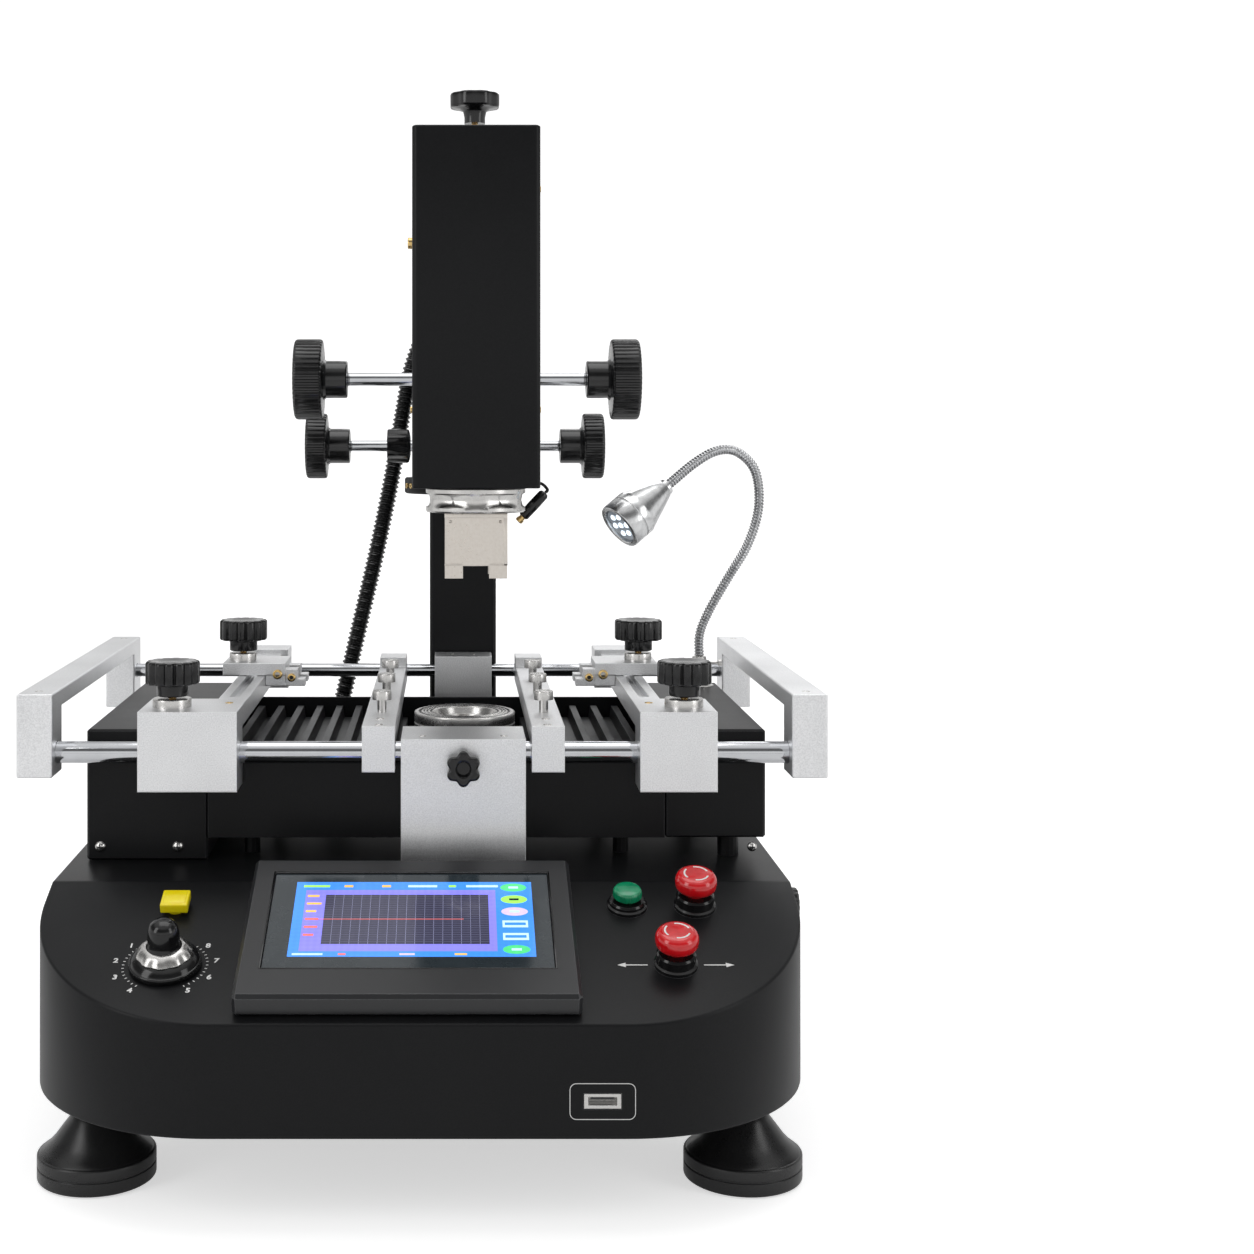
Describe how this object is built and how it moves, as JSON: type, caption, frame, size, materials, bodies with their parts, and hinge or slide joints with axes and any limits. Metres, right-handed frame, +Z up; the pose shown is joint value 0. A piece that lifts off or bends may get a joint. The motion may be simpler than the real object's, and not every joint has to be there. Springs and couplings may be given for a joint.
{
  "type": "bga rework station",
  "caption": "Bench hot-air rework station: console base, heated board table with sliding clamps, and a column with a swivelling arm and a height-adjustable nozzle head",
  "frame": {"origin": "centre of the machine's footprint, on the bench surface", "axes": "+Z up, +Y away from the operator, +X to the operator's right"},
  "size_m": [0.59, 0.66, 0.788],
  "materials": {
    "black_paint": "satin powder coat",
    "aluminium": "bead-blasted anodised",
    "polished_steel": "polished",
    "nozzle_steel": "satin stainless",
    "grey_paint": "satin",
    "black_plastic": "moulded phenolic",
    "rubber": "matte",
    "heater_black": "matte heat-proof coating",
    "screen_glass": "lit display",
    "red_plastic": "gloss",
    "green_plastic": "gloss",
    "yellow_plastic": "gloss"
  },
  "bodies": {
    "base": {"base_housing": "black_paint", "foot_back_left": "rubber", "foot_back_right": "rubber", "foot_front_left": "rubber", "foot_front_right": "rubber", "screen_bezel": "black_plastic", "screen_glass": "screen_glass", "usb_port": "nozzle_steel", "heater_tray": "black_paint", "heater_left": "heater_black", "heater_right": "heater_black", "heater_front": "heater_black", "heater_back": "heater_black", "lower_nozzle": "nozzle_steel", "side_housing_left": "black_paint", "side_housing_right": "black_paint", "front_rod": "polished_steel", "rear_rod": "polished_steel", "end_handle_left": "aluminium", "end_handle_right": "aluminium", "centre_block": "aluminium", "rear_block": "aluminium", "column": "black_paint"},
    "dial": {"flow_dial": "black_plastic"},
    "stop": {"stop_button": "red_plastic"},
    "power": {"power_button": "red_plastic"},
    "start": {"start_button": "green_plastic"},
    "vacuum": {"vacuum_button": "yellow_plastic"},
    "side_lock": {"side_knob": "black_plastic"},
    "centre_lock": {"centre_lock_knob": "black_plastic"},
    "left_carriage": {"carriage_left": "aluminium"},
    "right_carriage": {"carriage_right": "aluminium"},
    "left_clamp": {"board_clamp_left": "aluminium"},
    "right_clamp": {"board_clamp_right": "aluminium"},
    "left_front_star": {"star_knob_left_front": "black_plastic"},
    "right_front_star": {"star_knob_right_front": "black_plastic"},
    "left_rear_star": {"star_knob_left_rear": "black_plastic"},
    "right_rear_star": {"star_knob_right_rear": "black_plastic"},
    "left_bar": {"support_bar_left": "aluminium"},
    "right_bar": {"support_bar_right": "aluminium"},
    "swivel": {"swivel_collar": "black_paint", "arm_saddle": "grey_paint"},
    "arm": {"arm_beam": "grey_paint", "arm_end_cap": "aluminium", "head_conduit": "rubber"},
    "reach_wheel": {"reach_shaft": "polished_steel", "reach_knob_left": "black_plastic", "reach_knob_right": "black_plastic"},
    "head": {"head_housing": "black_paint", "slide_frame": "black_paint", "head_flange": "aluminium", "hose_elbow": "black_plastic"},
    "height_wheel": {"height_shaft": "polished_steel", "height_knob_left": "black_plastic", "height_knob_right": "black_plastic"},
    "nozzle": {"hot_air_nozzle": "nozzle_steel"},
    "top_lock": {"top_lock_knob": "black_plastic"},
    "lamp": {"lamp_socket": "aluminium", "lamp_neck": "polished_steel", "lamp_shade": "aluminium"}
  },
  "joints": [
    {"name": "dial_turn", "type": "hinge", "parent": "base", "child": "dial", "pos_m": [-0.167, -0.27028, 0.15104], "axis": [0, -0.3181, 0.9481], "range_deg": [-150, 150]},
    {"name": "stop_press", "type": "slide", "parent": "base", "child": "stop", "axis": [0, 0.3181, -0.9481], "range_m": [0, 0.004], "stiffness_N_per_m": 400, "springref_m": -0.001},
    {"name": "power_press", "type": "slide", "parent": "base", "child": "power", "axis": [0, 0.3181, -0.9481], "range_m": [0, 0.004], "stiffness_N_per_m": 400, "springref_m": -0.001},
    {"name": "start_press", "type": "slide", "parent": "base", "child": "start", "axis": [0, 0.3181, -0.9481], "range_m": [0, 0.002], "stiffness_N_per_m": 400, "springref_m": -0.001},
    {"name": "vacuum_press", "type": "slide", "parent": "base", "child": "vacuum", "axis": [0, 0.3181, -0.9481], "range_m": [0, 0.002], "stiffness_N_per_m": 400, "springref_m": -0.001},
    {"name": "side_lock_turn", "type": "hinge", "parent": "base", "child": "side_lock", "pos_m": [0.2626, -0.15, 0.16], "axis": [1, 0, 0], "range_deg": [-180, 180]},
    {"name": "centre_lock_turn", "type": "hinge", "parent": "base", "child": "centre_lock", "pos_m": [0.03, -0.1432, 0.2585], "axis": [0, -1, 0], "range_deg": [-180, 180]},
    {"name": "left_carriage_slide", "type": "slide", "parent": "base", "child": "left_carriage", "axis": [1, 0, 0], "range_m": [-0.05, 0.03]},
    {"name": "right_carriage_slide", "type": "slide", "parent": "base", "child": "right_carriage", "axis": [1, 0, 0], "range_m": [-0.008, 0.033]},
    {"name": "left_clamp_slide", "type": "slide", "parent": "left_carriage", "child": "left_clamp", "axis": [0, 1, 0], "range_m": [-0.06, 0.05]},
    {"name": "left_front_star_turn", "type": "hinge", "parent": "left_carriage", "child": "left_front_star", "pos_m": [-0.185, -0.122, 0.305], "axis": [0, 0, 1], "range_deg": [-180, 180]},
    {"name": "left_rear_star_turn", "type": "hinge", "parent": "left_clamp", "child": "left_rear_star", "pos_m": [-0.155, 0.075, 0.3153], "axis": [0, 0, 1], "range_deg": [-180, 180]},
    {"name": "right_clamp_slide", "type": "slide", "parent": "right_carriage", "child": "right_clamp", "axis": [0, 1, 0], "range_m": [-0.06, 0.05]},
    {"name": "right_front_star_turn", "type": "hinge", "parent": "right_carriage", "child": "right_front_star", "pos_m": [0.193, -0.122, 0.305], "axis": [0, 0, 1], "range_deg": [-180, 180]},
    {"name": "right_rear_star_turn", "type": "hinge", "parent": "right_clamp", "child": "right_rear_star", "pos_m": [0.179, 0.075, 0.3153], "axis": [0, 0, 1], "range_deg": [-180, 180]},
    {"name": "left_bar_slide", "type": "slide", "parent": "base", "child": "left_bar", "axis": [1, 0, 0], "range_m": [-0.02, 0.004]},
    {"name": "right_bar_slide", "type": "slide", "parent": "base", "child": "right_bar", "axis": [1, 0, 0], "range_m": [-0.004, 0.01]},
    {"name": "column_swivel", "type": "hinge", "parent": "base", "child": "swivel", "pos_m": [0.032, 0.264, 0.4685], "axis": [0, 0, 1], "range_deg": [-20, 5], "deforming": ["head_conduit"]},
    {"name": "arm_slide", "type": "slide", "parent": "swivel", "child": "arm", "axis": [0, 1, 0], "range_m": [-0.018, 0.05], "deforming": ["head_conduit"]},
    {"name": "reach_wheel_turn", "type": "hinge", "parent": "swivel", "child": "reach_wheel", "pos_m": [0.0245, 0.22, 0.489], "axis": [1, 0, 0], "range_deg": [-86.5, 239.5]},
    {"name": "head_slide", "type": "slide", "parent": "arm", "child": "head", "axis": [0, 0, 1], "range_m": [-0.07, 0.025], "deforming": ["head_conduit"]},
    {"name": "height_wheel_turn", "type": "hinge", "parent": "arm", "child": "height_wheel", "pos_m": [0.0345, 0.098, 0.547], "axis": [1, 0, 0], "range_deg": [-120, 335]},
    {"name": "nozzle_turn", "type": "hinge", "parent": "head", "child": "nozzle", "pos_m": [0.041, 0.016, 0.4367], "axis": [0, 0, 1], "continuous": true},
    {"name": "top_lock_turn", "type": "hinge", "parent": "head", "child": "top_lock", "pos_m": [0.041, 0.075, 0.7585], "axis": [0, 0, 1], "range_deg": [-180, 180]},
    {"name": "lamp_turn", "type": "hinge", "parent": "base", "child": "lamp", "pos_m": [0.238, 0.128, 0.2925], "axis": [0, 0, 1], "range_deg": [-15, 90]}
  ],
  "couplings": [
    {"joint": "reach_wheel_turn", "follows": "arm_slide", "rad_per_m": 83.333},
    {"joint": "height_wheel_turn", "follows": "head_slide", "rad_per_m": -83.333}
  ]
}
